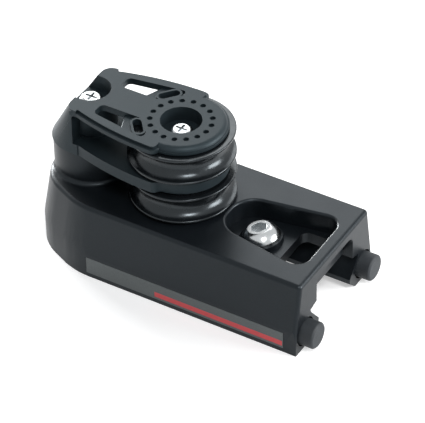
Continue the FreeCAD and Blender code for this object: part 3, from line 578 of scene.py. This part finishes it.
def seen_rays(nodes, links):
    """A socket that is 1 for camera, glossy and transmission rays."""
    rays = nodes.new("ShaderNodeLightPath")
    total = rays.outputs["Is Camera Ray"]
    for name in ("Is Glossy Ray", "Is Transmission Ray"):
        node = nodes.new("ShaderNodeMath")
        node.operation = "MAXIMUM"
        links.new(total, node.inputs[0])
        links.new(rays.outputs[name], node.inputs[1])
        total = node.outputs[0]
    return total


def floor_material(color):
    """A pale floor that keeps the shadow and glows a little where it is seen."""
    graph = NodeGraph("pale_floor")
    diffuse = graph.add("ShaderNodeBsdfDiffuse")
    graph.feed(diffuse.inputs["Color"], color)
    glow = graph.add("ShaderNodeEmission")
    glow.inputs["Color"].default_value = WHITE
    seen = seen_rays(graph.nodes, graph.links)
    graph.feed(glow.inputs["Strength"], graph.math("MULTIPLY", seen, FLOOR_GLOW))
    both = graph.add("ShaderNodeAddShader")
    graph.feed(both.inputs[0], diffuse.outputs[0])
    graph.feed(both.inputs[1], glow.outputs[0])
    graph.feed(graph.output.inputs["Surface"], both.outputs[0])
    return graph.material


class StageOperator(bpy.types.Operator):
    """Add the floor, the world, the lamps and the camera"""
    bl_idname = "end_control.stage"
    bl_label = "Studio"

    def execute(self, context):
        settings = context.scene.end_control_stage
        self.add_floor(settings)
        self.add_world(context.scene)
        for softbox in SOFTBOXES:
            add_softbox(**softbox)
        self.add_camera(context.scene, settings)
        return {"FINISHED"}

    def add_floor(self, settings):
        mesh = bpy.data.meshes.new("studio_floor")
        shape = bmesh.new()
        bmesh.ops.create_grid(shape, x_segments=1, y_segments=1, size=settings.floor_size / 2)
        shape.to_mesh(mesh)
        shape.free()
        mesh.materials.append(floor_material(settings.floor_color))
        floor = bpy.data.objects.new("studio_floor", mesh)
        bpy.context.scene.collection.objects.link(floor)

    def add_world(self, scene):
        """White where it is seen, and a dim cool fill for the light on the part."""
        world = bpy.data.worlds.new("studio_world")
        scene.world = world
        world.use_nodes = True
        nodes, links = world.node_tree.nodes, world.node_tree.links
        nodes.clear()
        output = nodes.new("ShaderNodeOutputWorld")
        fill = add_background(nodes, FILL_COLOR, FILL_STRENGTH)
        white = add_background(nodes, WHITE, 1.0)
        mixed = nodes.new("ShaderNodeMixShader")
        links.new(seen_rays(nodes, links), mixed.inputs[0])
        links.new(fill, mixed.inputs[1])
        links.new(white, mixed.inputs[2])
        links.new(mixed.outputs[0], output.inputs["Surface"])

    def add_camera(self, scene, settings):
        back = Vector((math.sin(settings.azimuth) * math.cos(settings.elevation),
                       -math.cos(settings.azimuth) * math.cos(settings.elevation),
                       math.sin(settings.elevation)))
        right = Vector((math.cos(settings.azimuth), math.sin(settings.azimuth), 0))
        turn = Matrix((right, back.cross(right), back)).transposed()
        turn = turn @ Matrix.Rotation(settings.roll, 3, "Z")
        camera = bpy.data.cameras.new("photo_camera")
        camera.lens = settings.lens
        camera.sensor_width = SENSOR_WIDTH_MM
        holder = bpy.data.objects.new("photo_camera", camera)
        scene.collection.objects.link(holder)
        place = Vector(settings.target) + back * settings.distance
        holder.matrix_world = Matrix.Translation(place) @ turn.to_4x4()
        scene.camera = holder
        scene.view_settings.view_transform = "Standard"


class EndControlPanel(bpy.types.Panel):
    """Lists the pieces and their settings"""
    bl_idname = "VIEW3D_PT_end_control"
    bl_label = "End Control"
    bl_space_type = "VIEW_3D"
    bl_region_type = "UI"
    bl_category = "End Control"

    def draw(self, context):
        for operator, group in zip(OPERATORS, SETTINGS):
            box = self.layout.box()
            box.operator(operator.bl_idname)
            settings = getattr(context.scene, group)
            for name in settings.__annotations__:
                box.prop(settings, name)


OPERATORS = (CastingOperator, PlatesOperator, SheavesOperator, FastenersOperator,
             BumpersOperator, LabelOperator, BearingsOperator, StageOperator)


def register():
    for group in SETTINGS.values():
        bpy.utils.register_class(group)
    for name, group in SETTINGS.items():
        setattr(bpy.types.Scene, name, PointerProperty(type=group))
    for kind in (*OPERATORS, EndControlPanel):
        bpy.utils.register_class(kind)


def unregister():
    for kind in reversed((*OPERATORS, EndControlPanel)):
        bpy.utils.unregister_class(kind)
    for name in SETTINGS:
        delattr(bpy.types.Scene, name)
    for group in reversed(SETTINGS.values()):
        bpy.utils.unregister_class(group)


def main():
    register()
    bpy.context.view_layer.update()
    bpy.ops.end_control.casting()
    bpy.ops.end_control.plates()
    bpy.ops.end_control.sheaves()
    bpy.ops.end_control.fasteners()
    bpy.ops.end_control.bumpers()
    bpy.ops.end_control.label()
    bpy.ops.end_control.bearings()
    bpy.ops.end_control.stage()


if __name__ == "__main__":
    main()
